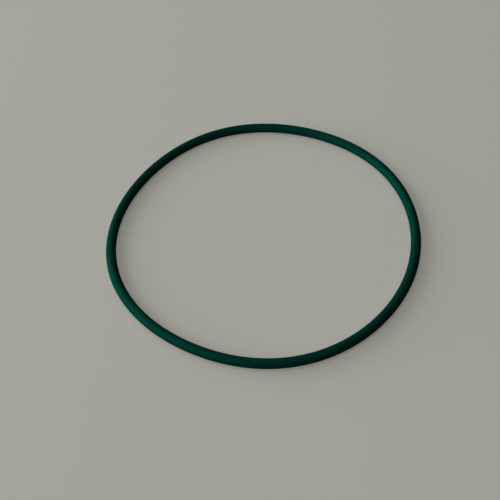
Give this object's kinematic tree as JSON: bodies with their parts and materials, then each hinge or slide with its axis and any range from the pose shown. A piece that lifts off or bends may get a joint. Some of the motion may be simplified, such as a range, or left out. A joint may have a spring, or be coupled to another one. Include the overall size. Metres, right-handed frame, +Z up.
{
  "type": "o-ring",
  "caption": "Endless rubber sealing ring of round section, moulded in one piece and lying flat.",
  "frame": {"origin": "centre of the ring, on the plane that it lies on", "axes": "+Z up along the ring's axis; +X to the right and +Y away from the viewer in the picture"},
  "size_m": [0.0964, 0.0966, 0.003],
  "materials": {
    "green_rubber": "dull satin, as moulded, dark blue-green"
  },
  "bodies": {
    "root": {"o_ring": "green_rubber"}
  },
  "joints": []
}
